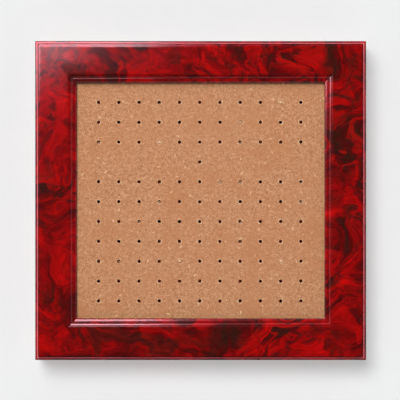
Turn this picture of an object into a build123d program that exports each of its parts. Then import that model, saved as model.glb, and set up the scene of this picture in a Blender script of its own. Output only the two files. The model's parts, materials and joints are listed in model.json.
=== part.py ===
from build123d import *
import os

# Pin impression toy in a mitred picture-frame moulding, lying on its back with its face up.
# A hand pressed on the pin tails behind the toy lifts the pin tips out of the face board.
# +X runs along the longer side, +Y along the shorter side and +Z out of the face.
# The origin is the centre of the footprint, on the surface that the feet stand on.
# All sizes are in millimetres.

# Frame moulding: widths run inwards from the outer edge, depths down from the crown
frame_x = 207.5
frame_y = 200.0
rail_width = 26.0
rabbet_width = 6.5
back_bevel = 1.2
fitting_gap = 0.25
bead_width = 1.6
bead_foot_depth = 2.9
bead_crest_depth = 1.6
bead_rise = 0.48
groove_in = 1.85
groove_depth = 2.0
face_edge_in = 2.1
face_edge_depth = 0.45
shoulder_in = 4.1
shoulder_rise = 0.09
crown_rise = 0.06

# Inner part of the moulding: widths run outwards from the sight edge
face_inner = 4.9
outer_reed = 4.7
outer_reed_depth = 0.6
outer_reed_rise = 0.33
valley = 2.55
valley_depth = 1.85
inner_reed = 2.35
inner_reed_depth = 1.83
inner_reed_rise = 0.28
sight_depth = 2.9

# Pins: a shaft with a stop collar, its tip in the face board and its tail behind the rear plate
travel = 9.0
rest_depth = 4.0
shaft_radius = 0.9
collar_radius = 2.0
collar_height = 1.0
collar_bevel = 0.2
tip_bevel = 0.25
tail_round = 0.6
tail_stub = 0.6
tail_clearance = 0.8

# Hole field
columns = 11
rows = 11
pitch_x = 12.7
pitch_y = 12.47
field_shift_x = -0.6
field_shift_y = -0.7
hole_radius = 1.0
short_row = 4
short_row_column = 6

# Pins are grouped in blocks about as wide as a fingertip
column_bands = {"left": (1, 3), "mid_left": (4, 6), "mid_right": (7, 9), "right": (10, 11)}
row_bands = {"top": (1, 3), "upper": (5, 6), "lower": (7, 9), "bottom": (10, 11)}

# Pins that stay where they were pushed: (column, row) and lift above their lowest place
raised_pins = {
    (10, 1): 4.0,
    (8, 2): 3.5,
    (1, 3): 2.5,
    (4, 3): 4.0,
    (8, 3): 2.4,
    (7, 5): 3.35,
    (8, 5): 2.95,
    (11, 5): 2.1,
    (4, 6): 2.9,
    (11, 6): 2.7,
    (3, 7): 2.8,
    (8, 7): 2.3,
    (8, 8): 2.1,
    (2, 9): 2.6,
    (5, 9): 3.85,
    (10, 9): 4.0,
}

# Layers, from the surface up
foot_height = 1.6
back_strip_thickness = 2.4
rear_plate_thickness = 1.6
guide_plate_thickness = 1.8
face_board_thickness = 3.0
crown_above_face = 4.4

rail_bottom = foot_height + back_strip_thickness
rear_plate_bottom = tail_clearance + travel + tail_stub
rear_plate_top = rear_plate_bottom + rear_plate_thickness
guide_plate_bottom = rear_plate_top + collar_height + travel
face_board_bottom = guide_plate_bottom + guide_plate_thickness
face_top = face_board_bottom + face_board_thickness
frame_top = face_top + crown_above_face
tip_end = face_top - rest_depth

# Spacer strips, back strips, feet and fasteners
spacer_width = 6.0
back_strip_inset = 3.0
back_strip_width = 22.0
back_strip_bevel = 0.5
foot_radius = 5.0
foot_round = 0.7
foot_inset = 14.0
screw_inset = 11.0
screw_spacing = 62.0
screw_length = 12.5
screw_head_radius = 2.8
screw_head_height = 1.4
screw_shank_radius = 1.5
screw_point_length = 2.0
screw_point_radius = 0.2
screw_gap = 0.05
strip_hole_gap = 0.1
cross_slot_length = 3.2
cross_slot_width = 0.7
cross_slot_depth = 0.9
mitre_nail_leg = 5.0
mitre_nail_thickness = 0.6
mitre_nail_height = 8.0
mitre_nail_insets = (6.5, 13.5)

rabbet_wall = rail_width - rabbet_width
board_x = frame_x - 2 * (rabbet_wall + fitting_gap)
board_y = frame_y - 2 * (rabbet_wall + fitting_gap)


def hole_centre(column, row):
    """Place of one hole, counted from the top left corner of the face."""
    x = field_shift_x + (column - (columns + 1) / 2) * pitch_x
    y = field_shift_y - (row - (rows + 1) / 2) * pitch_y
    return x, y


def hole_spots():
    """Every (column, row) that has a hole; the short row has only one."""
    spots = [(column, row) for row in range(1, rows + 1) for column in range(1, columns + 1)]
    return [spot for spot in spots if spot[1] != short_row or spot[0] == short_row_column]


def slab(length_x, length_y, bottom, top, x=0.0, y=0.0):
    """A flat rectangular block between two levels."""
    block = Box(length_x, length_y, top - bottom, align=(Align.CENTER, Align.CENTER, Align.MIN))
    return Pos(x, y, bottom) * block


def ridge(start, end, rise):
    """An arc from start to end whose middle stands rise away from the straight line."""
    along = Vector(*end) - Vector(*start)
    middle = Vector(*start) + along / 2 + Vector(-along.Y, along.X).normalized() * rise
    return ThreePointArc(start, middle, end)


def moulding_section():
    """Section of the moulding: u inwards from the outer edge, height above the surface."""

    def from_edge(u, depth):
        return u, frame_top - depth

    def from_sight(u, depth):
        return rail_width - u, frame_top - depth

    bead_foot = from_edge(0.0, bead_foot_depth)
    bead_crest = from_edge(bead_width, bead_crest_depth)
    face_edge = from_edge(face_edge_in, face_edge_depth)
    shoulder = from_edge(shoulder_in, crown_rise)
    face_end = from_sight(face_inner, crown_rise)
    first_reed = from_sight(outer_reed, outer_reed_depth)
    reed_valley = from_sight(valley, valley_depth)
    second_reed = from_sight(inner_reed, inner_reed_depth)
    sight = from_sight(0.0, sight_depth)
    back = [
        sight,
        (rail_width, face_top),
        (rabbet_wall, face_top),
        (rabbet_wall, rail_bottom),
        (back_bevel, rail_bottom),
        (0.0, rail_bottom + back_bevel),
        bead_foot,
    ]
    outline = [
        ridge(bead_foot, bead_crest, bead_rise),
        Polyline(bead_crest, from_edge(groove_in, groove_depth), face_edge),
        ridge(face_edge, shoulder, shoulder_rise),
        ridge(shoulder, face_end, crown_rise),
        Line(face_end, first_reed),
        ridge(first_reed, reed_valley, outer_reed_rise),
        Line(reed_valley, second_reed),
        ridge(second_reed, sight, inner_reed_rise),
        Polyline(*back),
    ]
    return make_face(Curve() + outline)


def rail(length):
    """One mitred rail along X, with its outer edge on y = 0 and its sight edge towards +Y."""
    section = Plane.YZ * moulding_section()
    bar = Pos(-length / 2, 0, 0) * extrude(section, length, dir=(1, 0, 0))
    plan = Polygon(
        (-length / 2, 0),
        (length / 2, 0),
        (length / 2 - rail_width, rail_width),
        (rail_width - length / 2, rail_width),
        align=None,
    )
    return bar & extrude(plan, frame_top)


def mitre_nails():
    """V-shaped nails driven into the back of each mitre, two at each corner."""
    leg = mitre_nail_leg
    thick = mitre_nail_thickness
    outline = Polygon(
        (0, 0), (-leg, 0), (-leg, -thick), (-thick, -thick), (-thick, -leg), (0, -leg), align=None
    )
    nail = extrude(outline, mitre_nail_height)
    nails = []
    for corner_x, corner_y, turn in ((1, 1, 0), (-1, 1, 90), (-1, -1, 180), (1, -1, 270)):
        for inset in mitre_nail_insets:
            x = corner_x * (frame_x / 2 - inset)
            y = corner_y * (frame_y / 2 - inset)
            nails.append(Pos(x, y, rail_bottom) * Rot(0, 0, turn) * nail)
    return nails


def screw_places():
    """Three screws along each back strip."""
    steps = (-screw_spacing, 0.0, screw_spacing)
    across = [(step, side * (frame_y / 2 - screw_inset)) for side in (1, -1) for step in steps]
    upright = [(side * (frame_x / 2 - screw_inset), step) for side in (1, -1) for step in steps]
    return across + upright


def wood_screw():
    """Countersunk cross-head wood screw, its head downwards at z = 0."""
    shank_end = screw_length - screw_point_length
    outline = Polyline(
        (0, 0),
        (screw_head_radius, 0),
        (screw_shank_radius, screw_head_height),
        (screw_shank_radius, shank_end),
        (screw_point_radius, screw_length),
        (0, screw_length),
        (0, 0),
    )
    body = revolve(Plane.XZ * make_face(outline), Axis.Z)
    slot = slab(cross_slot_length, cross_slot_width, 0, cross_slot_depth)
    return body - slot - Rot(0, 0, 90) * slot


def countersunk_hole():
    """Hole in a back strip for one screw, a little wider than the screw."""
    head = screw_head_radius + strip_hole_gap
    shank = screw_shank_radius + strip_hole_gap
    lowest = (Align.CENTER, Align.CENTER, Align.MIN)
    return Cone(head, shank, screw_head_height, align=lowest) + Cylinder(
        shank, back_strip_thickness, align=lowest
    )


def frame_rails():
    """Four mitred rails, with slots for the mitre nails and pilot holes for the screws."""
    pilot_depth = screw_length + screw_gap
    pilot = Cylinder(
        screw_shank_radius + screw_gap, pilot_depth, align=(Align.CENTER, Align.CENTER, Align.MIN)
    )
    cuts = mitre_nails() + [Pos(x, y, foot_height) * pilot for x, y in screw_places()]
    long_rail = rail(frame_x)
    short_rail = rail(frame_y)
    rails = {
        "frame_rail_bottom": Pos(0, -frame_y / 2, 0) * long_rail,
        "frame_rail_right": Pos(frame_x / 2, 0, 0) * Rot(0, 0, 90) * short_rail,
        "frame_rail_top": Pos(0, frame_y / 2, 0) * Rot(0, 0, 180) * long_rail,
        "frame_rail_left": Pos(-frame_x / 2, 0, 0) * Rot(0, 0, 270) * short_rail,
    }
    return {name: piece - cuts for name, piece in rails.items()}


def drilled_board(bottom, top):
    """A board that fills the rabbet, with one hole for each pin."""
    outline = Rectangle(board_x, board_y)
    holes = [Pos(*hole_centre(*spot)) * Circle(hole_radius) for spot in hole_spots()]
    return Pos(0, 0, bottom) * extrude(outline - holes, top - bottom)


def strip_ring(prefix, length_x, length_y, width, bottom, top):
    """Four butted strips inside a rectangle: top and bottom run through, the sides fit between."""
    across_y = (length_y - width) / 2
    upright_x = (length_x - width) / 2
    upright_length = length_y - 2 * width
    return {
        f"{prefix}_top": slab(length_x, width, bottom, top, y=across_y),
        f"{prefix}_bottom": slab(length_x, width, bottom, top, y=-across_y),
        f"{prefix}_left": slab(width, upright_length, bottom, top, x=-upright_x),
        f"{prefix}_right": slab(width, upright_length, bottom, top, x=upright_x),
    }


def back_strips():
    """Strips screwed behind the rails; they hold the plates and spacers in the rabbet."""
    outer_x = frame_x - 2 * back_strip_inset
    outer_y = frame_y - 2 * back_strip_inset
    strips = strip_ring("back_strip", outer_x, outer_y, back_strip_width, foot_height, rail_bottom)
    holes = [Pos(x, y, foot_height) * countersunk_hole() for x, y in screw_places()]
    pieces = {}
    for name, strip in strips.items():
        lowest_edges = strip.edges().group_by(Axis.Z)[0]
        long_edges = lowest_edges.sort_by(Edge.length)[-2:]
        pieces[name] = chamfer(long_edges, back_strip_bevel) - holes
    return pieces


def feet():
    """Four stick-on rubber feet, rounded at the bottom edge."""
    foot = Cylinder(foot_radius, foot_height, align=(Align.CENTER, Align.CENTER, Align.MIN))
    foot = fillet(foot.edges().group_by(Axis.Z)[0], foot_round)
    x = frame_x / 2 - foot_inset
    y = frame_y / 2 - foot_inset
    return [Pos(sign_x * x, sign_y * y, 0) * foot for sign_x in (1, -1) for sign_y in (1, -1)]


def pin():
    """One turned pin at its lowest place, on the Z axis."""
    collar_top = rear_plate_top + collar_height
    arc_middle = tail_round * (1 - 0.5**0.5)
    outline = [
        Line((0, tail_clearance), (shaft_radius - tail_round, tail_clearance)),
        ThreePointArc(
            (shaft_radius - tail_round, tail_clearance),
            (shaft_radius - arc_middle, tail_clearance + arc_middle),
            (shaft_radius, tail_clearance + tail_round),
        ),
        Polyline(
            (shaft_radius, tail_clearance + tail_round),
            (shaft_radius, rear_plate_top),
            (collar_radius - collar_bevel, rear_plate_top),
            (collar_radius, rear_plate_top + collar_bevel),
            (collar_radius, collar_top - collar_bevel),
            (collar_radius - collar_bevel, collar_top),
            (shaft_radius, collar_top),
            (shaft_radius, tip_end - tip_bevel),
            (shaft_radius - tip_bevel, tip_end),
            (0, tip_end),
            (0, tail_clearance),
        ),
    ]
    return revolve(Plane.XZ * make_face(Curve() + outline), Axis.Z)


def pin_groups():
    """Pins by node: blocks that have dropped back, the short row's pin, and each raised pin."""
    shape = pin()
    lowered = [spot for spot in hole_spots() if spot not in raised_pins]
    groups = {}
    for row_name, (first_row, last_row) in row_bands.items():
        for column_name, (first_column, last_column) in column_bands.items():
            groups[f"pins_{row_name}_{column_name}"] = [
                Pos(*hole_centre(column, row), 0) * shape
                for column, row in lowered
                if first_column <= column <= last_column and first_row <= row <= last_row
            ]
    groups["pin_short_row"] = [Pos(*hole_centre(short_row_column, short_row), 0) * shape]
    for (column, row), lift in raised_pins.items():
        groups[f"pin_column_{column}_row_{row}"] = [Pos(*hole_centre(column, row), lift) * shape]
    return groups


def all_nodes():
    """Every sub-part by node name."""
    nodes = frame_rails()
    nodes["face_board"] = drilled_board(face_board_bottom, face_top)
    nodes["guide_plate"] = drilled_board(guide_plate_bottom, face_board_bottom)
    nodes["rear_plate"] = drilled_board(rear_plate_bottom, rear_plate_top)
    nodes |= strip_ring("upper_spacer", board_x, board_y, spacer_width, rear_plate_top, guide_plate_bottom)
    nodes |= strip_ring("lower_spacer", board_x, board_y, spacer_width, rail_bottom, rear_plate_bottom)
    nodes |= back_strips()
    nodes["mitre_nails"] = mitre_nails()
    nodes["back_screws"] = [Pos(x, y, foot_height) * wood_screw() for x, y in screw_places()]
    nodes["rubber_feet"] = feet()
    nodes |= pin_groups()
    return nodes


os.makedirs("parts", exist_ok=True)
for node_name, pieces in all_nodes().items():
    solids = pieces if isinstance(pieces, list) else [pieces]
    group = Compound(children=[solid for piece in solids for solid in piece.solids()])
    export_step(group, f"parts/{node_name}.step")
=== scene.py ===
"""Looks of the pin impression toy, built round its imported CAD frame.

Every length is in metres, in the frame's own axes: +X right, +Y towards the top rail and +Z out of
the face.
"""

import json
import math
import operator
import random

import bpy
from mathutils import Matrix, Vector, noise

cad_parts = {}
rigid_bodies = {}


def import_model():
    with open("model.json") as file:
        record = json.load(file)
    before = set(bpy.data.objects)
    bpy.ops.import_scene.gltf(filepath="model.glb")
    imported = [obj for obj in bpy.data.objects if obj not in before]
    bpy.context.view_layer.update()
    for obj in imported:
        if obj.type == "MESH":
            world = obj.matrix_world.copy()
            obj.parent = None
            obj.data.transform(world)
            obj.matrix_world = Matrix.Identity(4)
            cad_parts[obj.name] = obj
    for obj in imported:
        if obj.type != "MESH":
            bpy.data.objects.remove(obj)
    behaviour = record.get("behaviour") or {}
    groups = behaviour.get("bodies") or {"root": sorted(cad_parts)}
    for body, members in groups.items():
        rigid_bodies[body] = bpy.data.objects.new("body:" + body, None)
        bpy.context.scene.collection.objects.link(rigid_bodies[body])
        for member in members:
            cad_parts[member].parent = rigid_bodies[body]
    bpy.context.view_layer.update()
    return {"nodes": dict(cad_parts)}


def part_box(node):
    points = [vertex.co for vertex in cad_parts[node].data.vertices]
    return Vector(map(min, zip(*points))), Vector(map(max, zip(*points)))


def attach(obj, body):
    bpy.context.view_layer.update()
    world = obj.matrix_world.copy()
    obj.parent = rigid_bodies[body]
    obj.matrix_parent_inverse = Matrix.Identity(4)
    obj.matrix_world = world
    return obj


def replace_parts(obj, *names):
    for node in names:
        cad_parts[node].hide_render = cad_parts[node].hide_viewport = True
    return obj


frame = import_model()

MM = 0.001
WELD_GRID = 1e7  # steps per metre: places that round alike share a vertex

# Edges sharper than these angles, in degrees, are shaded as edges
SHARP_ANGLE = 35.0
RAIL_SHARP_ANGLE = 28.0
SCREW_SHARP_ANGLE = 30.0

# Outlines and levels of the CAD parts
FRAME_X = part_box("frame_rail_right")[1].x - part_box("frame_rail_left")[0].x
FRAME_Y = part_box("frame_rail_top")[1].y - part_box("frame_rail_bottom")[0].y
FRAME_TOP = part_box("frame_rail_top")[1].z
RAIL_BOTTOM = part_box("frame_rail_top")[0].z
RAIL_WIDTH = FRAME_X / 2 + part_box("frame_rail_left")[1].x
FACE_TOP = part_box("face_board")[1].z
RABBET_GAP = 0.25 * MM  # between the face board's edge and the rail
RABBET_WALL = FRAME_X / 2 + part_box("face_board")[0].x - RABBET_GAP

# Moulding: widths run inwards from the outer edge, depths down from the crown
BACK_BEVEL = 1.2 * MM
BEAD_WIDTH = 1.8 * MM
BEAD_FOOT_DEPTH = 2.9 * MM
BEAD_CREST_DEPTH = 1.6 * MM
BEAD_RISE = 0.54 * MM
GROOVE_IN = 2.0 * MM
GROOVE_DEPTH = 2.0 * MM
FACE_EDGE_IN = 2.2 * MM
FACE_EDGE_DEPTH = 0.45 * MM
SHOULDER_IN = 4.2 * MM
SHOULDER_RISE = 0.09 * MM
CROWN_RISE = 0.06 * MM

# Inner part of the moulding: widths run outwards from the sight edge
FACE_INNER = 4.9 * MM
OUTER_REED = 4.7 * MM
OUTER_REED_DEPTH = 0.6 * MM
OUTER_REED_RISE = 0.33 * MM
VALLEY = 2.55 * MM
VALLEY_DEPTH = 1.85 * MM
INNER_REED = 2.35 * MM
INNER_REED_DEPTH = 1.83 * MM
INNER_REED_RISE = 0.28 * MM
SIGHT_DEPTH = 2.9 * MM

# Edges of the moulding, and the bead's crest, which turns pale pink for rubbed lacquer and a painted
# highlight: the pink starts at the first width and is full from the second
EDGE_ROUND = 0.12 * MM
SHORT_SIDE_SHARE = 0.45
BEAD_WEAR_AND_HIGHLIGHT_FROM = 1.05 * MM
BEAD_WEAR_AND_HIGHLIGHT_FULL = 1.3 * MM

# How finely the moulding is divided
ARC_STEPS = 12
CROWN_STEPS = 16
CORNER_STEPS = 4
RAIL_STATIONS = 40

# Hole field: places come from the pins that stand in it
COLUMNS = 11
ROWS = 11
SHORT_ROW = 4
SHORT_ROW_COLUMN = 6
HOLE_RADIUS = 1.0 * MM
COLLAR_RADIUS = (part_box("pin_short_row")[1].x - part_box("pin_short_row")[0].x) / 2
FIELD_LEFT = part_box("pins_top_left")[0].x + COLLAR_RADIUS
FIELD_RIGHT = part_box("pins_top_right")[1].x - COLLAR_RADIUS
FIELD_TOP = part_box("pins_top_left")[1].y - COLLAR_RADIUS
FIELD_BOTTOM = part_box("pins_bottom_left")[0].y + COLLAR_RADIUS
PITCH_X = (FIELD_RIGHT - FIELD_LEFT) / (COLUMNS - 1)
PITCH_Y = (FIELD_TOP - FIELD_BOTTOM) / (ROWS - 1)
SIDE_STEPS = 8
FRAY_SCALE = 1.3
FRAY_FINE_SCALE = 2.7
FRAY_FINE_SHARE = 0.6
PLATE_BEVEL = 0.2 * MM
FACE_SEED = 5
GUIDE_SEED = 6
REAR_SEED = 7

# Pins
SHAFT_RADIUS = 0.9 * MM
COLLAR_HEIGHT = 1.0 * MM
COLLAR_BEVEL = 0.2 * MM
COLLAR_CLEARANCE = 0.03 * MM  # keeps a stopped collar just off the plate
TIP_BEVEL = 0.25 * MM
TIP_SOFTENING = 0.35 * TIP_BEVEL
TAIL_ROUND = 0.6 * MM
PIN_SEGMENTS = 32
ROUND_STEPS = 6

# Screws, feet and strips
SCREW_INSET = 11.0 * MM
SCREW_SPACING = 62.0 * MM
SCREW_HEAD_RADIUS = 2.8 * MM
SCREW_HEAD_HEIGHT = 1.4 * MM
SCREW_SHANK_RADIUS = 1.5 * MM
SCREW_ROOT_RADIUS = 1.1 * MM
SCREW_PLAIN_SHANK = 1.2 * MM
SCREW_THREAD_PITCH = 1.2 * MM
SCREW_THREAD_SLOPE = 3.2
SCREW_THREAD_ROWS = 72
SCREW_POINT_LENGTH = 2.0 * MM
SCREW_POINT_SHARE = 0.15
SCREW_EDGE = 0.1 * MM
SCREW_RIM_INSET = 0.12 * MM
SCREW_SEGMENTS = 36
RECESS_LENGTH = 1.6 * MM
RECESS_WIDTH = 0.35 * MM
RECESS_DEPTH = 0.9 * MM
RECESS_ABOVE = 0.1 * MM
RECESS_TAPER = (0.55, 0.75)
STRIP_HOLE_GAP = 0.1 * MM
STRIP_HOLE_RIM = 0.6 * MM
STRIP_BEVEL = 0.5 * MM
SPACER_BEVEL = 0.25 * MM
FOOT_RADIUS = 5.0 * MM
FOOT_ROUND = 0.7 * MM
FOOT_TOP_EDGE = 0.1 * MM
FOOT_SOLE_RINGS = (0.5, 0.72)
FOOT_SEGMENTS = 64

# Lacquer colours, as linear red, green and blue
BRIGHT_RED = (0.49, 0.003, 0.003)
RED = (0.285, 0.003, 0.003)
MID_RED = (0.17, 0.003, 0.003)
MAROON = (0.088, 0.003, 0.003)
BROWN_BLACK = (0.036, 0.008, 0.005)
# The bead crest's pale pink: partly rubbed lacquer, partly a painted highlight
RUBBED_AND_HIGHLIGHT_RED = (0.84, 0.18, 0.22)

# Slides the marbling so that its light and dark areas fall about where the photo has them
MARBLE_SHIFT = (0.619, -0.283, 1.296)

# Hardboard tones: dark, middle and pale fibres, then chips; the blush shifts the middle tone's hue
TAN_TONES = ((0.344, 0.142, 0.061), (0.512, 0.240, 0.119), (0.67, 0.354, 0.193), (0.82, 0.53, 0.31))
# Hole walls and cut edges: darker, redder tones, painted shade that keeps the holes dark and warm
HOLE_SHADE_TONES = ((0.22, 0.06, 0.022), (0.32, 0.095, 0.035), (0.40, 0.13, 0.05), (0.5, 0.25, 0.13))
BLACK_TONES = ((0.008, 0.007, 0.007), (0.016, 0.014, 0.013), (0.03, 0.027, 0.025), (0.06, 0.05, 0.045))
BLUSH = (0.97, 0.84, 0.76)

# Softwood tones: dark and pale grain
BACK_PINE = ((0.36, 0.20, 0.10), (0.62, 0.43, 0.25))
SPACER_PINE = ((0.30, 0.17, 0.08), (0.50, 0.34, 0.19))

# Metals: clean and stained
ZINC = ((0.62, 0.60, 0.54), (0.42, 0.36, 0.25))
NAIL_STEEL = ((0.45, 0.45, 0.46), (0.25, 0.23, 0.21))

# Main lights: place, width, height, radiance
KEY = ((-0.70, 2.1, 2.0), 1.4, 2.6, 10.9)
FILL = ((0.9, -1.9, 0.8), 1.2, 1.2, 3.5)

# Overhead panels that only the gloss mirrors: name, right, front, left and back edges, height, radiance
SHEEN_PANELS = (
    ("sheen_dim", -0.046, 0.125, -0.30, 0.30, 1.06, 0.2),
    ("sheen_near", -0.135, 0.147, -0.30, 0.30, 1.03, 4.2),
    ("sheen_top", -0.055, 0.30, -0.30, 0.9, 1.03, 7.5),
    ("sheen_top_far", -0.055, 0.90, -0.30, 1.9, 1.03, 17.0),
    ("sheen_left", -0.30, 0.155, -0.9, 0.45, 1.03, 8.0),
    ("sheen_left_far", -0.90, 0.155, -1.9, 0.45, 1.03, 13.0),
)

# Suns that light one kind of piece each
OVERHEAD = (0.0, 0.0, 1.0)
SHADOW_SUN_FROM = (-0.23, 0.36, 1.0)
SHADOW_SUN = 1.55
SHADOW_SUN_ANGLE = 26.0
FLOOR_SUN = 1.29
HOLE_SUN = 0.16
HOLE_SUN_COLOUR = (1.0, 0.14, 0.03)

# Sky: (height as half the direction's z plus a half, brightness)
SKY_STOPS = ((0.46, 0.04), (0.485, 0.8), (0.65, 0.5), (0.8, 0.12), (0.9, 0.02))
SKY_BLUE = 1.01

FLOOR_HALF_SIZE = 6.0
FLOOR_TONES = ((0.845, 0.855, 0.858), (0.87, 0.879, 0.882))

# Camera
LENS = 200.0
SENSOR_WIDTH = 36.0
CAMERA_X = -0.41 * MM
CAMERA_Y = 0.35 * MM
CAMERA_HEIGHT = 1.391  # above the frame's top


# ------------------------------------------------------------------ mesh making


class MeshParts:
    """Vertices, faces and face zones, gathered before they become one mesh."""

    def __init__(self):
        self.vertices = []
        self.values = []
        self.faces = []
        self.zones = []
        self.known = {}

    def vertex(self, x, y, z, value=0.0):
        """Index of the vertex at this place; the same place gives the same vertex."""
        key = (round(x * WELD_GRID), round(y * WELD_GRID), round(z * WELD_GRID))
        if key not in self.known:
            self.known[key] = len(self.vertices)
            self.vertices.append((x, y, z))
            self.values.append(value)
        return self.known[key]

    def face(self, indices, zone=0):
        self.faces.append(tuple(indices))
        self.zones.append(zone)

    def bridge(self, first, second, zone=0):
        """Quads between two closed loops of the same length."""
        for a in range(len(first)):
            b = (a + 1) % len(first)
            self.face((first[a], first[b], second[b], second[a]), zone)

    def turned(self, profile, centre, segments, height=0.0):
        """A turned solid from (radius, z) points, bottom to top; a radius may be a function of both."""
        loops = []
        for radius, z in profile:
            loop = []
            for step in range(segments):
                angle = math.tau * step / segments
                reach = radius(angle, z) if callable(radius) else radius
                x = centre[0] + reach * math.cos(angle)
                y = centre[1] + reach * math.sin(angle)
                loop.append(self.vertex(x, y, z + height))
            loops.append(loop)
        for lower, upper in zip(loops, loops[1:]):
            self.bridge(lower, upper)
        self.face(reversed(loops[0]))
        self.face(loops[-1])


def add_piece(name, parts, body, materials, sharp_angle=SHARP_ANGLE):
    """Makes one smooth-shaded piece, with the zones of its faces as its materials."""
    mesh = bpy.data.meshes.new(name)
    mesh.from_pydata(parts.vertices, [], parts.faces)
    mesh.shade_smooth()
    mesh.set_sharp_from_angle(angle=math.radians(sharp_angle))
    for material in materials:
        mesh.materials.append(material)
    mesh.polygons.foreach_set("material_index", parts.zones)
    # Per-point marks: torn and worn places, and on the moulding's bead also a painted highlight
    wear_and_highlight = mesh.attributes.new("wear_and_highlight", "FLOAT", "POINT")
    wear_and_highlight.data.foreach_set("value", parts.values)
    piece = bpy.data.objects.new(name, mesh)
    bpy.context.scene.collection.objects.link(piece)
    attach(piece, body)
    return piece


def arc(start, end, rise, steps):
    """Points of an arc from start towards end that stands rise above the chord, without the end."""
    along = end - start
    radius = (along.length_squared / 4 + rise * rise) / (2 * rise)
    half_angle = math.asin(along.length / 2 / radius)
    forwards = along.normalized()
    upwards = Vector((-forwards.y, forwards.x))
    centre = (start + end) / 2 + upwards * (rise - radius)
    angles = [half_angle * (2 * step / steps - 1) for step in range(steps)]
    return [centre + radius * (forwards * math.sin(a) + upwards * math.cos(a)) for a in angles]


def eased(before, corner, after):
    """A corner eased by a curve that starts and ends EDGE_ROUND from it, or nearer on a short side."""

    def towards(neighbour):
        side = neighbour - corner
        return corner + side.normalized() * min(EDGE_ROUND, side.length * SHORT_SIDE_SHARE)

    start, end = towards(before), towards(after)
    steps = [step / CORNER_STEPS for step in range(CORNER_STEPS + 1)]
    return [start * (1 - t) ** 2 + corner * 2 * t * (1 - t) + end * t**2 for t in steps]


def moulding_section():
    """The moulding's outline as (in from the outer edge, height), and how many points are lacquered."""

    def from_edge(u, depth):
        return Vector((u, FRAME_TOP - depth))

    def from_sight(u, depth):
        return Vector((RAIL_WIDTH - u, FRAME_TOP - depth))

    bead_crest = from_edge(BEAD_WIDTH, BEAD_CREST_DEPTH)
    groove = from_edge(GROOVE_IN, GROOVE_DEPTH)
    face_edge = from_edge(FACE_EDGE_IN, FACE_EDGE_DEPTH)
    shoulder = from_edge(SHOULDER_IN, CROWN_RISE)
    face_end = from_sight(FACE_INNER, CROWN_RISE)
    first_reed = from_sight(OUTER_REED, OUTER_REED_DEPTH)
    valley = from_sight(VALLEY, VALLEY_DEPTH)
    second_reed = from_sight(INNER_REED, INNER_REED_DEPTH)
    sight = from_sight(0.0, SIGHT_DEPTH)
    lip = Vector((RAIL_WIDTH, FACE_TOP))
    rabbet = Vector((RABBET_WALL, FACE_TOP))
    slope = arc(face_edge, shoulder, SHOULDER_RISE, ARC_STEPS)
    reed = arc(first_reed, valley, OUTER_REED_RISE, ARC_STEPS)
    inner_reed = arc(second_reed, sight, INNER_REED_RISE, ARC_STEPS)
    outline = arc(from_edge(0.0, BEAD_FOOT_DEPTH), bead_crest, BEAD_RISE, ARC_STEPS)
    outline += eased(outline[-1], bead_crest, groove)
    outline += [groove]
    outline += eased(groove, face_edge, slope[1])
    outline += slope[1:]
    outline += arc(shoulder, face_end, CROWN_RISE, CROWN_STEPS)
    outline += eased(shoulder, face_end, first_reed)
    outline += reed + [valley]
    outline += eased(valley, second_reed, inner_reed[1])
    outline += inner_reed[1:]
    outline += eased(inner_reed[-1], sight, lip)
    outline += eased(sight, lip, rabbet)
    lacquered = len(outline)
    outline += [
        rabbet,
        Vector((RABBET_WALL, RAIL_BOTTOM)),
        Vector((BACK_BEVEL, RAIL_BOTTOM)),
        Vector((0, RAIL_BOTTOM + BACK_BEVEL)),
    ]
    return outline, lacquered


def bead_wear_and_highlight(u, z):
    """Rubbed lacquer plus painted highlight: it grows up the outer bead towards its crest, and is 0
    elsewhere.
    """
    if u > BEAD_WIDTH or z < FRAME_TOP - BEAD_FOOT_DEPTH:
        return 0.0
    return min(1.0, max(0.0, (u - BEAD_WEAR_AND_HIGHLIGHT_FROM) / (BEAD_WEAR_AND_HIGHLIGHT_FULL - BEAD_WEAR_AND_HIGHLIGHT_FROM)))


def moulding_rail(side, length, turn, materials):
    """One mitred rail: the section swept along X, then turned to its side of the frame."""
    section, lacquered = moulding_section()
    to_side = Matrix.Rotation(math.radians(turn), 3, "Z")
    offset = FRAME_Y / 2 if turn % 180 == 0 else FRAME_X / 2
    parts = MeshParts()
    loops = []
    for station in range(RAIL_STATIONS + 1):
        t = 2 * station / RAIL_STATIONS - 1
        loop = []
        for u, z in section:
            place = to_side @ Vector((t * (length / 2 - u), u - offset, z))
            loop.append(parts.vertex(*place, bead_wear_and_highlight(u, z)))
        loops.append(loop)
    count = len(section)
    for near, far in zip(loops, loops[1:]):
        for a in range(count):
            b = (a + 1) % count
            # Raw wood runs under the lip, down the rabbet and across the back
            raw = lacquered <= b <= lacquered + 2
            parts.face((near[a], far[a], far[b], near[b]), 1 if raw else 0)
    parts.face(loops[0], 1)
    parts.face(reversed(loops[-1]), 1)
    piece = add_piece(
        f"moulding_{side}", parts, "frame", materials, RAIL_SHARP_ANGLE
    )
    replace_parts(piece, f"frame_rail_{side}")


def divided(start, end):
    """Evenly spaced values from start to end, both included."""
    return [start + (end - start) * step / SIDE_STEPS for step in range(SIDE_STEPS + 1)]


def around(xs, ys):
    """The border of a grid as one closed loop of (x, y), counter-clockwise."""
    loop = [(x, ys[0]) for x in xs[:-1]]
    loop += [(xs[-1], y) for y in ys[:-1]]
    loop += [(x, ys[-1]) for x in reversed(xs[1:])]
    loop += [(xs[0], y) for y in reversed(ys[1:])]
    return loop


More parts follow.
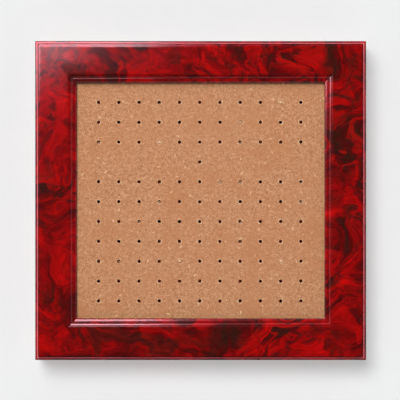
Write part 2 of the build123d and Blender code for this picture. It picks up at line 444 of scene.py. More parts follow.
def drilled_cell(parts, xs, ys, centre, low, high, profile, draw):
    """A grid cell with a hole; profile lists (radius, z, roughness, wear) from the top down."""
    border = around(xs, ys)
    angles = [math.atan2(y - centre[1], x - centre[0]) for x, y in border]
    origin = Vector([draw.uniform(0, 100) for _ in range(3)])
    loops = [[parts.vertex(x, y, high) for x, y in border]]
    for radius, z, roughness, wear_and_highlight in profile:
        loop = []
        for angle in angles:
            spot = Vector((math.cos(angle), math.sin(angle), z / MM)) * FRAY_SCALE + origin
            fine = FRAY_FINE_SHARE * noise.noise(spot * FRAY_FINE_SCALE)
            bite = max(0.0, noise.noise(spot) + fine) * roughness
            reach = radius + bite
            x = centre[0] + reach * math.cos(angle)
            y = centre[1] + reach * math.sin(angle)
            loop.append(parts.vertex(x, y, z, wear_and_highlight))
        loops.append(loop)
    loops.append([parts.vertex(x, y, low) for x, y in border])
    for n, (upper, lower) in enumerate(zip(loops, loops[1:])):
        flat = n == 0 or n == len(loops) - 2 or profile[n - 1][1] == profile[n][1]
        parts.bridge(lower, upper, 0 if flat else 1)


def plain_cell(parts, xs, ys, low, high):
    """A grid cell without a hole, top and bottom."""
    for x0, x1 in zip(xs, xs[1:]):
        for y0, y1 in zip(ys, ys[1:]):
            corners = ((x0, y0), (x1, y0), (x1, y1), (x0, y1))
            parts.face([parts.vertex(x, y, high) for x, y in corners])
            parts.face([parts.vertex(x, y, low) for x, y in reversed(corners)])


def plate(x_lines, y_lines, holes, low, high, bevel, profile, seed):
    """A flat bevelled plate on a grid of cells; holes maps a (column, row) cell to its hole's centre."""
    draw = random.Random(seed)
    parts = MeshParts()
    x_lines = [x_lines[0] + bevel, *x_lines[1:-1], x_lines[-1] - bevel]
    y_lines = [y_lines[0] + bevel, *y_lines[1:-1], y_lines[-1] - bevel]
    for i, (x0, x1) in enumerate(zip(x_lines, x_lines[1:])):
        for j, (y0, y1) in enumerate(zip(y_lines, y_lines[1:])):
            xs, ys = divided(x0, x1), divided(y0, y1)
            if (i, j) in holes:
                drilled_cell(parts, xs, ys, holes[i, j], low, high, profile, draw)
            else:
                plain_cell(parts, xs, ys, low, high)
    all_x = [x for x0, x1 in zip(x_lines, x_lines[1:]) for x in divided(x0, x1)[:-1]] + [x_lines[-1]]
    all_y = [y for y0, y1 in zip(y_lines, y_lines[1:]) for y in divided(y0, y1)[:-1]] + [y_lines[-1]]
    border = around(all_x, all_y)
    middle = Vector(((all_x[0] + all_x[-1]) / 2, (all_y[0] + all_y[-1]) / 2))
    grow_x = 1 + bevel / (all_x[-1] - middle.x)
    grow_y = 1 + bevel / (all_y[-1] - middle.y)
    outer = [
        (middle.x + (x - middle.x) * grow_x, middle.y + (y - middle.y) * grow_y)
        for x, y in border
    ]
    rings = [
        [parts.vertex(x, y, low) for x, y in border],
        [parts.vertex(x, y, low + bevel, 1.0) for x, y in outer],
        [parts.vertex(x, y, high - bevel, 1.0) for x, y in outer],
        [parts.vertex(x, y, high) for x, y in border],
    ]
    for lower, upper in zip(rings, rings[1:]):
        parts.bridge(lower, upper, 2)
    return parts


# ------------------------------------------------------------------ materials


class Graph:
    """One material's nodes: each method adds a node and returns what it gives."""

    def __init__(self, name):
        self.material = bpy.data.materials.new(name)
        self.material.use_nodes = True
        self.tree = self.material.node_tree
        self.shader = self.tree.nodes["Principled BSDF"]

    def node(self, kind, inputs, **settings):
        made = self.tree.nodes.new("ShaderNode" + kind)
        for name, value in settings.items():
            setattr(made, name, value)
        for name, value in inputs.items():
            self.feed(made.inputs[name], value)
        return made

    def feed(self, socket, value):
        if isinstance(value, bpy.types.NodeSocket):
            self.tree.links.new(value, socket)
        else:
            socket.default_value = value

    def shade(self, **inputs):
        """Sets the shader's own sockets; underscores stand for spaces."""
        for name, value in inputs.items():
            self.feed(self.shader.inputs[name.replace("_", " ")], value)

    def place(self):
        return self.node("TexCoord", {}).outputs["Object"]

    def maths(self, operation, *values):
        return self.node("Math", dict(enumerate(values)), operation=operation).outputs[0]

    def times(self, first, second):
        return self.maths("MULTIPLY", first, second)

    def vector(self, operation, *values):
        return self.node("VectorMath", dict(enumerate(values)), operation=operation).outputs[0]

    def scaled(self, vector, factor):
        inputs = {"Vector": vector, "Scale": factor}
        return self.node("VectorMath", inputs, operation="SCALE").outputs[0]

    def noise(self, place, scale, detail=2.0, roughness=0.5, distortion=0.0):
        inputs = {
            "Vector": place,
            "Scale": scale,
            "Detail": detail,
            "Roughness": roughness,
            "Distortion": distortion,
        }
        return self.node("TexNoise", inputs)

    def grain(self, place, scale, detail=2.0, roughness=0.5, distortion=0.0):
        return self.noise(place, scale, detail, roughness, distortion).outputs[0]

    def warped(self, place, scale, amount, detail=2.0, roughness=0.5):
        """The place, pushed about by up to about half this amount."""
        push = self.noise(place, scale, detail, roughness).outputs[1]
        centred = self.vector("SUBTRACT", push, (0.5, 0.5, 0.5))
        return self.vector("ADD", place, self.scaled(centred, amount))

    def spread(self, value, low, high, to_low=0.0, to_high=1.0, kind="LINEAR"):
        inputs = {0: value, 1: low, 2: high, 3: to_low, 4: to_high}
        return self.node("MapRange", inputs, interpolation_type=kind).outputs[0]

    def ramp(self, value, stops):
        made = self.node("ValToRGB", {"Fac": value})
        elements = made.color_ramp.elements
        while len(elements) < len(stops):
            elements.new(1.0)
        for element, (position, colour) in zip(elements, stops):
            element.position = position
            element.color = (*colour, 1.0)
        return made.outputs[0]

    def mix(self, factor, first, second, blend="MIX"):
        inputs = {0: factor, 6: self.colour(first), 7: self.colour(second)}
        return self.node("Mix", inputs, data_type="RGBA", blend_type=blend).outputs[2]

    def mix_value(self, factor, first, second):
        return self.node("Mix", {0: factor, 2: first, 3: second}, data_type="FLOAT").outputs[0]

    def colour(self, value):
        return (*value, 1.0) if isinstance(value, tuple) and len(value) == 3 else value

    def attribute(self, name):
        return self.node("Attribute", {}, attribute_name=name).outputs["Fac"]

    def bump(self, height, distance, strength=1.0, below=None):
        inputs = {"Height": height, "Distance": distance, "Strength": strength}
        if below is not None:
            inputs["Normal"] = below
        return self.node("Bump", inputs).outputs[0]

    def flecks(self, place, scale, share, length, width, seed):
        """Scattered short strokes, each turned its own way: 1 inside a stroke, 0 outside."""
        shifted = self.vector("ADD", place, (seed, seed * 0.37, 0.0))
        cells = self.node("TexVoronoi", {"Vector": shifted, "Scale": scale}, voronoi_dimensions="2D")
        chance = self.node("SeparateColor", {0: cells.outputs["Color"]})
        offset = self.vector("SUBTRACT", shifted, cells.outputs["Position"])
        flat = self.vector("MULTIPLY", offset, (1.0, 1.0, 0.0))
        angle = self.times(chance.outputs[0], math.tau)
        spin = self.node("VectorRotate", {"Vector": flat, "Angle": angle}, rotation_type="Z_AXIS")
        size = self.spread(chance.outputs[1], 0.0, 1.0, 0.5, 1.0)
        squeezed = self.vector("DIVIDE", spin.outputs[0], (length, width, 1.0))
        distance = self.node("VectorMath", {0: squeezed}, operation="LENGTH").outputs[1]
        reach = self.maths("DIVIDE", distance, size)
        inside = self.spread(reach, 0.6, 1.0, 1.0, 0.0, "SMOOTHSTEP")
        strength = self.spread(chance.outputs[2], 0.0, share, 1.0, 0.25)
        kept = self.maths("LESS_THAN", chance.outputs[2], share)
        return self.times(self.times(inside, strength), kept)


def marbled_lacquer():
    """Red lacquer marbled with folded maroon and brown-black drifts, under a clear gloss coat.

    Broad drifts come first, then bright tongues and dark pools with firmer edges, then thin veins and
    folds that follow the contours of one more noise. The base's red specular tint turns the highlights
    pink. The outer bead's crest turns pale pink, partly rubbed lacquer and partly a painted highlight.
    """
    g = Graph("marbled_lacquer")
    place = g.vector("ADD", g.place(), MARBLE_SHIFT)
    bend = g.warped(place, 17.0, 0.062, 2.0, 0.55)
    swirl = g.warped(bend, 46.0, 0.024, 2.0, 0.5)
    along = g.grain(g.vector("MULTIPLY", swirl, (1.0, 3.2, 1.0)), 34.0, 4.0, 0.55)
    across = g.grain(g.vector("MULTIPLY", swirl, (3.2, 1.0, 1.0)), 34.0, 4.0, 0.55)
    chooser = g.spread(g.grain(place, 18.0, 1.0), 0.42, 0.58)
    drift = g.mix_value(chooser, across, along)
    cloud = g.grain(swirl, 30.0, 3.0, 0.5)
    depth = g.mix_value(0.42, drift, cloud)
    marble = g.ramp(depth, [
        (0.37, BROWN_BLACK),
        (0.44, MAROON),
        (0.49, MID_RED),
        (0.53, RED),
        (0.54, MID_RED),
        (0.59, RED),
        (0.64, BRIGHT_RED),
    ])
    shape = g.grain(g.vector("ADD", swirl, (0.3, 0.1, 0.0)), 44.0, 3.0, 0.5)
    fading = g.grain(g.vector("ADD", bend, (0.7, 0.5, 0.0)), 40.0, 2.0)
    tongue = g.times(g.spread(shape, 0.545, 0.558), g.spread(fading, 0.42, 0.62))
    pool = g.times(g.spread(shape, 0.455, 0.442), g.spread(fading, 0.58, 0.40))
    lit = g.mix(g.times(tongue, 0.6), marble, BRIGHT_RED)
    pooled = g.mix(g.times(pool, 0.6), lit, BROWN_BLACK)
    curl = g.grain(g.vector("ADD", swirl, (0.11, 0.57, 0.0)), 42.0, 3.0, 0.45)
    level = g.maths("FRACT", g.times(curl, 6.0))
    ring = g.maths("ABSOLUTE", g.maths("SUBTRACT", level, 0.5))
    region = g.spread(g.grain(g.vector("ADD", place, (0.5, 0.2, 0.0)), 26.0, 1.0), 0.42, 0.55)
    vein = g.times(g.spread(ring, 0.36, 0.44), region)
    fold = g.times(g.spread(ring, 0.20, 0.10), region)
    veined = g.mix(g.times(vein, 0.55), pooled, BROWN_BLACK)
    folded = g.mix(g.times(fold, 0.45), veined, BRIGHT_RED)
    streaks = g.grain(g.vector("MULTIPLY", swirl, (1.0, 5.0, 1.0)), 150.0, 4.0, 0.6)
    feather = g.spread(streaks, 0.3, 0.7, 0.72, 1.28)
    grey = g.node("CombineColor", {0: feather, 1: feather, 2: feather}).outputs[0]
    coloured = g.mix(1.0, folded, grey, "MULTIPLY")
    # The bead's crest turns pale pink: partly rubbed lacquer, partly a painted highlight
    patchy = g.spread(g.grain(place, 260.0, 2.0), 0.2, 0.6, 0.7, 1.0)
    coloured = g.mix(g.times(g.attribute("wear_and_highlight"), patchy), coloured, RUBBED_AND_HIGHLIGHT_RED)
    peel = g.bump(g.grain(place, 900.0, 1.0), 0.00002, 0.35)
    ripple = g.bump(g.grain(place, 160.0, 2.0), 0.00005, 0.3, peel)
    g.shade(Base_Color=coloured, Roughness=0.14, Normal=ripple)
    g.shade(Specular_IOR_Level=0.45, Specular_Tint=(1.0, 0.08, 0.25, 1.0))
    g.shade(Coat_Weight=0.75, Coat_IOR=1.5, Coat_Normal=ripple, Coat_Roughness=0.11)
    return g.material


def raw_rail_wood():
    """Unfinished wood of the moulding's back, rabbet and mitre faces."""
    g = Graph("raw_rail_wood")
    place = g.place()
    fibre = g.grain(g.vector("MULTIPLY", place, (1.0, 1.0, 0.2)), 900.0, 4.0, 0.6)
    blotch = g.grain(place, 60.0, 3.0)
    base = g.mix(fibre, (0.30, 0.16, 0.075), (0.52, 0.33, 0.17))
    stained = g.mix(g.spread(blotch, 0.5, 0.75), base, (0.16, 0.05, 0.03))
    g.shade(Base_Color=stained, Roughness=g.spread(fibre, 0.0, 1.0, 0.65, 0.85))
    g.shade(Normal=g.bump(fibre, 0.0001, 0.5))
    return g.material


def hardboard(name, dark, mid, pale, chip, roughness, chips, gloss):
    """Pressed fibreboard: mottled fibres with pale chips, curved hairs, dark specks and torn rims."""
    g = Graph(name)
    place = g.place()
    cloud = g.grain(place, 30.0, 3.0)
    mottle = g.grain(g.warped(place, 250.0, 0.0015), 480.0, 3.0, 0.6)
    fine = g.grain(place, 1350.0, 2.0, 0.6)
    tone = g.mix_value(0.62, mottle, fine)
    base = g.ramp(tone, [(0.37, dark), (0.50, mid), (0.63, pale)])
    shaded = g.mix(g.spread(cloud, 0.35, 0.65, 0.0, 0.3), base, mid)
    blush = g.grain(g.vector("ADD", place, (0.4, 0.9, 0.0)), 55.0, 3.0, 0.6)
    rosy = tuple(map(operator.mul, mid, BLUSH))
    shaded = g.mix(g.spread(blush, 0.46, 0.66, 0.0, 0.55), shaded, rosy)
    crooked = g.warped(place, 420.0, 0.0014, 2.0)
    broad = g.flecks(crooked, 170.0, 0.33, 0.0015, 0.0006, 1.0)
    small = g.flecks(crooked, 400.0, 0.45, 0.0006, 0.00035, 2.0)
    hair = g.flecks(g.warped(place, 130.0, 0.008, 1.0), 120.0, 0.55, 0.0036, 0.00022, 3.0)
    speck = g.flecks(crooked, 260.0, 0.16, 0.0005, 0.00035, 4.0)
    pale_marks = g.maths("MAXIMUM", broad, g.times(small, 0.6))
    pale_marks = g.maths("MAXIMUM", pale_marks, g.times(hair, 0.6))
    torn = g.times(g.attribute("wear_and_highlight"), g.spread(mottle, 0.42, 0.62))
    marks = g.maths("MAXIMUM", pale_marks, torn)
    chipped = g.mix(g.times(marks, chips), shaded, chip)
    specked = g.mix(g.times(speck, 0.6), chipped, dark)
    relief = g.mix_value(0.4, tone, marks)
    g.shade(Base_Color=specked, Roughness=g.spread(tone, 0.3, 0.7, roughness, roughness + 0.15))
    g.shade(Normal=g.bump(relief, 0.00008, 0.5), Specular_IOR_Level=gloss)
    return g.material


def strip_wood(name, along, dark, pale):
    """Sawn softwood with its grain along the X or the Y axis."""
    g = Graph(name)
    stretch = (0.06, 1.0, 1.0) if along == "X" else (1.0, 0.06, 1.0)
    place = g.warped(g.place(), 20.0, 0.004)
    grain = g.vector("MULTIPLY", place, stretch)
    rings = g.grain(grain, 420.0, 3.0, 0.5, 0.6)
    pores = g.grain(grain, 2600.0, 3.0, 0.6)
    tone = g.maths("ADD", g.times(rings, 0.65), g.times(pores, 0.35))
    base = g.ramp(tone, [(0.36, dark), (0.56, pale)])
    worn = g.mix(g.times(g.attribute("wear_and_highlight"), 0.35), base, dark)
    g.shade(Base_Color=worn, Roughness=g.spread(pores, 0.2, 0.8, 0.6, 0.85))
    g.shade(Normal=g.bump(tone, 0.00012, 0.5))
    return g.material


def turned_pin_wood():
    """Pale turned beech with fine grain along the pin."""
    g = Graph("turned_beech")
    place = g.place()
    grain = g.grain(g.vector("MULTIPLY", place, (1.0, 1.0, 0.05)), 3200.0, 3.0, 0.55)
    patch = g.grain(place, 300.0, 2.0)
    base = g.ramp(grain, [(0.32, (0.62, 0.36, 0.19)), (0.60, (0.92, 0.58, 0.36))])
    shaded = g.mix(g.spread(patch, 0.4, 0.7, 0.0, 0.3), base, (0.70, 0.42, 0.24))
    g.shade(Base_Color=shaded, Roughness=g.spread(grain, 0.3, 0.7, 0.45, 0.6))
    g.shade(Normal=g.bump(grain, 0.00003, 0.4))
    return g.material


def metal(name, colour, stain):
    """Plated steel with dull patches and fine scratches."""
    g = Graph(name)
    place = g.place()
    patch = g.grain(place, 420.0, 4.0, 0.6)
    scratch = g.grain(g.vector("MULTIPLY", place, (1.0, 0.08, 1.0)), 5200.0, 2.0)
    g.shade(Base_Color=g.mix(g.spread(patch, 0.45, 0.75), colour, stain), Metallic=1.0)
    g.shade(Roughness=g.spread(patch, 0.3, 0.7, 0.28, 0.5), Normal=g.bump(scratch, 0.00002, 0.35))
    return g.material


def foot_rubber():
    """Dark soft rubber with a fine moulded grain and a little dust."""
    g = Graph("foot_rubber")
    place = g.place()
    fine = g.grain(place, 2400.0, 3.0, 0.6)
    dust = g.grain(place, 180.0, 4.0, 0.65)
    g.shade(Base_Color=g.mix(g.spread(dust, 0.52, 0.8), (0.018, 0.018, 0.019), (0.09, 0.085, 0.08)))
    g.shade(Roughness=g.spread(fine, 0.3, 0.7, 0.62, 0.85), Normal=g.bump(fine, 0.00004, 0.5))
    return g.material


# ------------------------------------------------------------------ pieces


def hole_centre(column, row):
    """Place of one hole, counted from the top left corner of the face."""
    return FIELD_LEFT + (column - 1) * PITCH_X, FIELD_TOP - (row - 1) * PITCH_Y


def hole_spots():
    """(column, row) of every hole: a full grid but for the short row."""
    spots = [(column, row) for row in range(1, ROWS + 1) for column in range(1, COLUMNS + 1)]
    return [spot for spot in spots if spot[1] != SHORT_ROW or spot[0] == SHORT_ROW_COLUMN]


def drilled_plate(name, node, profile, materials, seed):
    """A plate that carries the whole hole field."""
    low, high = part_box(node)
    x_lines = [low.x] + [FIELD_LEFT + (step - 0.5) * PITCH_X for step in range(COLUMNS + 1)] + [high.x]
    y_lines = [low.y] + [FIELD_BOTTOM + (step - 0.5) * PITCH_Y for step in range(ROWS + 1)] + [high.y]
    holes = {(column, ROWS + 1 - row): hole_centre(column, row) for column, row in hole_spots()}
    parts = plate(x_lines, y_lines, holes, low.z, high.z, PLATE_BEVEL, profile(low.z, high.z), seed)
    piece = add_piece(name, parts, "frame", materials)
    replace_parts(piece, node)


def torn_hole(low, high):
    """A drilled hole whose rim has lifted fibres; rings of (radius, z, roughness, wear)."""
    return [
        (HOLE_RADIUS + 0.9 * MM, high, 0.2 * MM, 0.0),
        (HOLE_RADIUS + 0.3 * MM, high, 0.15 * MM, 0.8),
        (HOLE_RADIUS + 0.06 * MM, high, 0.22 * MM, 1.0),
        (HOLE_RADIUS, high - 0.15 * MM, 0.08 * MM, 0.6),
        (HOLE_RADIUS, high - 0.8 * MM, 0.02 * MM, 0.0),
        (HOLE_RADIUS, low + 0.1 * MM, 0.02 * MM, 0.0),
        (HOLE_RADIUS + 0.1 * MM, low, 0.05 * MM, 0.0),
    ]


def clean_hole(low, high):
    """A hole with a small even chamfer; rings as for torn_hole."""
    return [
        (HOLE_RADIUS + 0.5 * MM, high, 0.0, 0.0),
        (HOLE_RADIUS + 0.12 * MM, high, 0.0, 0.8),
        (HOLE_RADIUS, high - 0.12 * MM, 0.0, 0.5),
        (HOLE_RADIUS, low + 0.12 * MM, 0.0, 0.5),
        (HOLE_RADIUS + 0.12 * MM, low, 0.0, 0.8),
        (HOLE_RADIUS + 0.5 * MM, low, 0.0, 0.0),
    ]


def screw_places():
    """Places of the screws: three along each rail."""
    steps = (-SCREW_SPACING, 0.0, SCREW_SPACING)
    across = [(step, side * (FRAME_Y / 2 - SCREW_INSET)) for side in (1, -1) for step in steps]
    upright = [(side * (FRAME_X / 2 - SCREW_INSET), step) for side in (1, -1) for step in steps]
    return across + upright


def back_strip(side, material):
    """A strip screwed behind a rail, with three countersunk holes."""
    node = f"back_strip_{side}"
    low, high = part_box(node)
    across = side in ("top", "bottom")
    inside = [(x, y) for x, y in screw_places() if low.x < x < high.x and low.y < y < high.y]
    half = (high.y - low.y if across else high.x - low.x) / 2
    spots = sorted((x if across else y) for x, y in inside)
    lines = [low.x if across else low.y]
    holes = {}
    for spot in spots:
        lines += [spot - half, spot + half]
        index = len(lines) - 2
        centre = next(place for place in inside if spot in place)
        holes[(index, 0) if across else (0, index)] = centre
    lines.append(high.x if across else high.y)
    shank = SCREW_SHANK_RADIUS + STRIP_HOLE_GAP
    head = SCREW_HEAD_RADIUS + STRIP_HOLE_GAP
    profile = [
        (shank, high.z, 0.0, 0.5),
        (shank, low.z + SCREW_HEAD_HEIGHT, 0.0, 0.5),
        (head, low.z, 0.0, 0.8),
        (head + STRIP_HOLE_RIM, low.z, 0.0, 0.0),
    ]
    x_lines = lines if across else [low.x, high.x]
    y_lines = [low.y, high.y] if across else lines
    parts = plate(x_lines, y_lines, holes, low.z, high.z, STRIP_BEVEL, profile, 0)
    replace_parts(add_piece(f"strip_{side}", parts, "frame", [material] * 3), node)


def spacer(node, material):
    """A plain sawn strip between two plates, its edges eased."""
    low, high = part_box(node)
    parts = plate([low.x, high.x], [low.y, high.y], {}, low.z, high.z, SPACER_BEVEL, [], 0)
    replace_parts(add_piece(f"{node}_strip", parts, "frame", [material] * 3), node)


def rounded_foot(radius, rounding, bottom):
    """(radius, z) points of a turned solid's rounded bottom edge."""
    angles = [math.pi / 2 * step / ROUND_STEPS for step in range(ROUND_STEPS + 1)]
    return [
        (radius - rounding + rounding * math.sin(a), bottom + rounding * (1 - math.cos(a)))
        for a in angles
    ]


def pin_profile(lowest, tip):
    """(radius, z) of a dropped pin: rounded tail, shaft, collar on the rear plate, bevelled tip."""
    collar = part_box("rear_plate")[1].z
    under = collar + COLLAR_CLEARANCE
    over = collar + COLLAR_HEIGHT - COLLAR_CLEARANCE
    return rounded_foot(SHAFT_RADIUS, TAIL_ROUND, lowest) + [
        (SHAFT_RADIUS, under),
        (COLLAR_RADIUS - COLLAR_BEVEL, under),
        (COLLAR_RADIUS, under + COLLAR_BEVEL),
        (COLLAR_RADIUS, over - COLLAR_BEVEL),
        (COLLAR_RADIUS - COLLAR_BEVEL, over),
        (SHAFT_RADIUS, over),
        (SHAFT_RADIUS, tip - TIP_BEVEL),
        (SHAFT_RADIUS - TIP_SOFTENING, tip - TIP_SOFTENING),
        (SHAFT_RADIUS - TIP_BEVEL, tip),
    ]


def pins(material):
    """Every pin, on the body that it slides with."""
    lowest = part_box("pin_short_row")[0].z
    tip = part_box("pin_short_row")[1].z
    profile = pin_profile(lowest, tip)
    nodes = [node for node in frame["nodes"] if node.startswith("pin")]
    single = [node for node in nodes if node.startswith("pin_column")]
    boxes = {node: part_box(node) for node in nodes}

    def holds(node, centre):
        low, high = boxes[node]
        return low.x < centre[0] < high.x and low.y < centre[1] < high.y

    for node in nodes:
        low = boxes[node][0]
        centres = [hole_centre(*spot) for spot in hole_spots()]
        centres = [centre for centre in centres if holds(node, centre)]
        if node not in single:
            centres = [c for c in centres if not any(holds(other, c) for other in single)]
        parts = MeshParts()
        for centre in centres:
            parts.turned(profile, centre, PIN_SEGMENTS, low.z - lowest)
        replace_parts(add_piece(f"turned_{node}", parts, node, [material]), node)


def screws(material):
    """Countersunk wood screws with a cross recess and a rolled thread."""
    low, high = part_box("back_screws")
    length = high.z - low.z
    thread_start = SCREW_HEAD_HEIGHT + SCREW_PLAIN_SHANK

    def thread(angle, z):
        turn = (z / SCREW_THREAD_PITCH - angle / math.tau) % 1.0
        crest = max(0.0, 1 - abs(turn - 0.5) * SCREW_THREAD_SLOPE)
        taper = max(SCREW_POINT_SHARE, min(1.0, (length - z) / SCREW_POINT_LENGTH))
        return (SCREW_ROOT_RADIUS + (SCREW_SHANK_RADIUS - SCREW_ROOT_RADIUS) * crest) * taper

    profile = [
        (SCREW_HEAD_RADIUS - SCREW_RIM_INSET, 0.0),
        (SCREW_HEAD_RADIUS, SCREW_EDGE),
        (SCREW_SHANK_RADIUS, SCREW_HEAD_HEIGHT),
        (SCREW_SHANK_RADIUS, thread_start),
    ]
    for row in range(1, SCREW_THREAD_ROWS + 1):
        along = (length - SCREW_EDGE - thread_start) * row / SCREW_THREAD_ROWS
        profile.append((thread, thread_start + along))
    shape = MeshParts()
    shape.turned(profile, (0, 0), SCREW_SEGMENTS)
    shape = cut_recess(shape)
    parts = MeshParts()
    for x, y in screw_places():
        first = len(parts.vertices)
        parts.vertices += [(x + v[0], y + v[1], low.z + v[2]) for v in shape.vertices]
        parts.values += [0.0] * len(shape.vertices)
        parts.faces += [tuple(first + index for index in face) for face in shape.faces]
        parts.zones += [0] * len(shape.faces)
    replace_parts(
        add_piece("wood_screws", parts, "frame", [material], SCREW_SHARP_ANGLE),
        "back_screws",
    )


def cut_recess(shape):
    """Cuts the tapered cross recess into the head at z = 0, through two objects that are then removed."""
    screw = bpy.data.meshes.new("screw_blank")
    screw.from_pydata(shape.vertices, [], shape.faces)
    blank = bpy.data.objects.new("screw_blank", screw)
    cutter_parts = MeshParts()
    arm = ((RECESS_WIDTH, -RECESS_WIDTH), (RECESS_LENGTH, -RECESS_WIDTH), (RECESS_LENGTH, RECESS_WIDTH))
    outline = []
    for turn in range(4):
        angle = turn * math.pi / 2
        for u, v in arm:
            x = u * math.cos(angle) - v * math.sin(angle)
            y = u * math.sin(angle) + v * math.cos(angle)
            outline.append((x, y))
    narrow_x, narrow_y = RECESS_TAPER
    top = [cutter_parts.vertex(x, y, -RECESS_ABOVE) for x, y in outline]
    bottom = [cutter_parts.vertex(x * narrow_x, y * narrow_y, RECESS_DEPTH) for x, y in outline]
    cutter_parts.bridge(top, bottom)
    cutter_parts.face(reversed(top))
    cutter_parts.face(bottom)
    cross = bpy.data.meshes.new("cross")
    cross.from_pydata(cutter_parts.vertices, [], cutter_parts.faces)
    cutter = bpy.data.objects.new("cross", cross)
    for thing in (blank, cutter):
        bpy.context.scene.collection.objects.link(thing)
    modifier = blank.modifiers.new("recess", "BOOLEAN")
    modifier.object = cutter
    modifier.operation = "DIFFERENCE"
    modifier.solver = "EXACT"
    cut = bpy.data.meshes.new_from_object(blank.evaluated_get(bpy.context.evaluated_depsgraph_get()))
    made = MeshParts()
    made.vertices = [tuple(v.co) for v in cut.vertices]
    made.faces = [tuple(p.vertices) for p in cut.polygons]
    for thing in (blank, cutter):
        bpy.data.objects.remove(thing)
    return made


def rubber_feet(material):
    """Four stick-on feet, each rounded at the edge that stands on the table."""
    low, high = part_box("rubber_feet")
    profile = [(FOOT_RADIUS * share, 0.0) for share in FOOT_SOLE_RINGS]
    profile += rounded_foot(FOOT_RADIUS, FOOT_ROUND, 0.0)
    profile += [(FOOT_RADIUS, high.z - FOOT_TOP_EDGE), (FOOT_RADIUS - FOOT_TOP_EDGE, high.z)]
    parts = MeshParts()
    for x in (low.x + FOOT_RADIUS, high.x - FOOT_RADIUS):
        for y in (low.y + FOOT_RADIUS, high.y - FOOT_RADIUS):
            parts.turned(profile, (x, y), FOOT_SEGMENTS, low.z)
    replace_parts(add_piece("feet", parts, "frame", [material]), "rubber_feet")


def build_pieces():
    """Every visible piece with its material; the nails keep their CAD mesh."""
    lacquer, raw = marbled_lacquer(), raw_rail_wood()
    for side, length, turn in (
        ("bottom", FRAME_X, 0),
        ("right", FRAME_Y, 90),
        ("top", FRAME_X, 180),
        ("left", FRAME_Y, 270),
    ):
        moulding_rail(side, length, turn, [lacquer, raw])
    tan = hardboard("tan_hardboard", *TAN_TONES, roughness=0.6, chips=0.8, gloss=0.35)
    # The hole walls and cut edges get darker, redder tones: painted shade for the holes
    drilled = hardboard("hole_wall_shade", *HOLE_SHADE_TONES, roughness=0.75, chips=1.0, gloss=0.0)
    black = hardboard("black_hardboard", *BLACK_TONES, roughness=0.4, chips=0.4, gloss=0.35)
    faces = [tan, drilled, drilled]
    drilled_plate("tan_face", "face_board", torn_hole, faces, FACE_SEED)
    drilled_plate("guide", "guide_plate", clean_hole, [black] * 3, GUIDE_SEED)
    drilled_plate("rear", "rear_plate", clean_hole, [black] * 3, REAR_SEED)
    for axis, sides in (("X", ("top", "bottom")), ("Y", ("left", "right"))):
        strip_material = strip_wood(f"back_pine_{axis}", axis, *BACK_PINE)
        spacer_material = strip_wood(f"spacer_pine_{axis}", axis, *SPACER_PINE)
        for side in sides:
            back_strip(side, strip_material)
            spacer(f"upper_spacer_{side}", spacer_material)
            spacer(f"lower_spacer_{side}", spacer_material)
    pins(turned_pin_wood())
    screws(metal("zinc_plate", *ZINC))
    rubber_feet(foot_rubber())
    nails = frame["nodes"]["mitre_nails"]
    nails.data.materials.clear()
    nails.data.materials.append(metal("nail_steel", *NAIL_STEEL))


# ------------------------------------------------------------------ stage


def floor():
    """A pale matt floor with a faint paper grain, which the lacquer doesn't mirror."""
    size = FLOOR_HALF_SIZE
    mesh = bpy.data.meshes.new("floor")
    corners = [(-size, -size, 0), (size, -size, 0), (size, size, 0), (-size, size, 0)]
    mesh.from_pydata(corners, [], [(0, 1, 2, 3)])
    g = Graph("floor_paper")
    tone = g.grain(g.place(), 90.0, 4.0)
    g.shade(Base_Color=g.mix(tone, *FLOOR_TONES), Roughness=0.9)
    mesh.materials.append(g.material)
    made = bpy.data.objects.new("floor", mesh)
    made.visible_glossy = False
    bpy.context.scene.collection.objects.link(made)
    return made


def aimed(thing, place, target):
    thing.location = place
    thing.rotation_euler = (Vector(target) - Vector(place)).to_track_quat("-Z", "Y").to_euler()


def add_light(name, kind, place, energy, receivers, **settings):
    """A light aimed at the origin that only its receivers feel and no camera sees."""
    data = bpy.data.lights.new(name, kind)
    data.energy = energy
    for key, value in settings.items():
        setattr(data, key, value)
    made = bpy.data.objects.new(name, data)
    bpy.context.scene.collection.objects.link(made)
    aimed(made, place, (0.0, 0.0, 0.0))
    made.visible_camera = False
    made.light_linking.receiver_collection = receivers
    return made


def softbox(name, place, width, height, radiance, receivers):
    """A rectangular area light; power is chosen for this radiance."""
    power = radiance * math.pi * width * height
    sides = {"shape": "RECTANGLE", "size": width, "size_y": height}
    return add_light(name, "AREA", place, power, receivers, **sides)


def light_group(name, pieces, state):
    """A light's receivers: only these pieces (INCLUDE), or all but them (EXCLUDE)."""
    group = bpy.data.collections.new(name)
    for piece in pieces:
        group.objects.link(piece)
    for member in group.collection_objects:
        member.light_linking.link_state = state
    return group


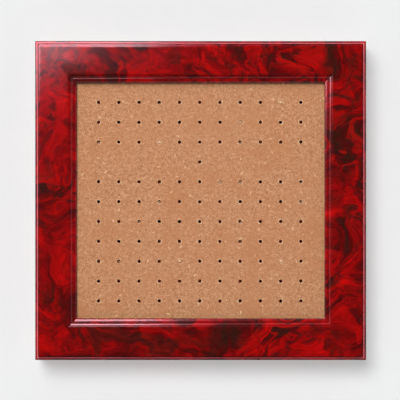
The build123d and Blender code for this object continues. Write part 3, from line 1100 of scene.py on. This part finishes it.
def light_stage(floor_piece):
    """Separate lights for the shading, the highlights, the floor and the holes.

    Key and fill shade everything but the floor; they don't bounce, which would redden what is near
    the frame, and the gloss doesn't mirror them. It mirrors the sheen panels instead, which light
    nothing. One sun casts the floor's soft shadow and one fills it. The last, faint and warm, stands
    in for the light that would reach the pins in their holes.
    """
    face = bpy.data.objects["tan_face"]
    turned = [piece for piece in bpy.data.objects if piece.name.startswith("turned_")]
    only_floor = light_group("only_floor", [floor_piece], "INCLUDE")
    not_floor = light_group("not_floor", [floor_piece], "EXCLUDE")
    glossy_pieces = light_group("glossy_pieces", [floor_piece, face, *turned], "EXCLUDE")
    only_pins = light_group("only_pins", turned, "INCLUDE")
    for name, settings in (("key", KEY), ("fill", FILL)):
        light = softbox(name, *settings, not_floor)
        light.visible_glossy = False
        light.data.cycles.max_bounces = 0
    for name, right, front, left, back, height, radiance in SHEEN_PANELS:
        place = ((left + right) / 2, (front + back) / 2, height)
        panel = softbox(name, place, right - left, back - front, radiance, glossy_pieces)
        panel.rotation_euler = (0.0, 0.0, 0.0)
        panel.visible_diffuse = False
    spread = math.radians(SHADOW_SUN_ANGLE)
    add_light("floor_shadow", "SUN", SHADOW_SUN_FROM, SHADOW_SUN, only_floor, angle=spread)
    add_light("floor_fill", "SUN", OVERHEAD, FLOOR_SUN, only_floor, use_shadow=False)
    glow = add_light("hole_glow", "SUN", OVERHEAD, HOLE_SUN, only_pins, use_shadow=False)
    glow.data.color = HOLE_SUN_COLOUR


def world():
    """A studio that is dim overhead and pale towards the horizon, over a dark ground.

    The ramp's input is the direction's z, halved and raised to run from 0 below to 1 above.
    """
    made = bpy.data.worlds.new("studio")
    bpy.context.scene.world = made
    made.use_nodes = True
    tree = made.node_tree
    background = tree.nodes["Background"]
    coordinates = tree.nodes.new("ShaderNodeTexCoord")
    split = tree.nodes.new("ShaderNodeSeparateXYZ")
    ramp = tree.nodes.new("ShaderNodeValToRGB")
    tree.links.new(coordinates.outputs["Generated"], split.inputs[0])
    halved = tree.nodes.new("ShaderNodeMath")
    halved.operation = "MULTIPLY_ADD"
    halved.inputs[1].default_value = 0.5
    halved.inputs[2].default_value = 0.5
    tree.links.new(split.outputs[2], halved.inputs[0])
    tree.links.new(halved.outputs[0], ramp.inputs[0])
    tree.links.new(ramp.outputs[0], background.inputs[0])
    elements = ramp.color_ramp.elements
    while len(elements) < len(SKY_STOPS):
        elements.new(1.0)
    for element, (position, level) in zip(elements, SKY_STOPS):
        element.position = position
        element.color = (level, level, level * SKY_BLUE, 1.0)


def camera():
    """Looks straight down on the face, as the photograph does."""
    data = bpy.data.cameras.new("camera")
    data.lens = LENS
    data.sensor_width = SENSOR_WIDTH
    made = bpy.data.objects.new("camera", data)
    made.location = (CAMERA_X, CAMERA_Y, FRAME_TOP + CAMERA_HEIGHT)
    bpy.context.scene.collection.objects.link(made)
    bpy.context.scene.camera = made


build_pieces()
light_stage(floor())
world()
camera()
bpy.context.scene.view_settings.view_transform = "Standard"
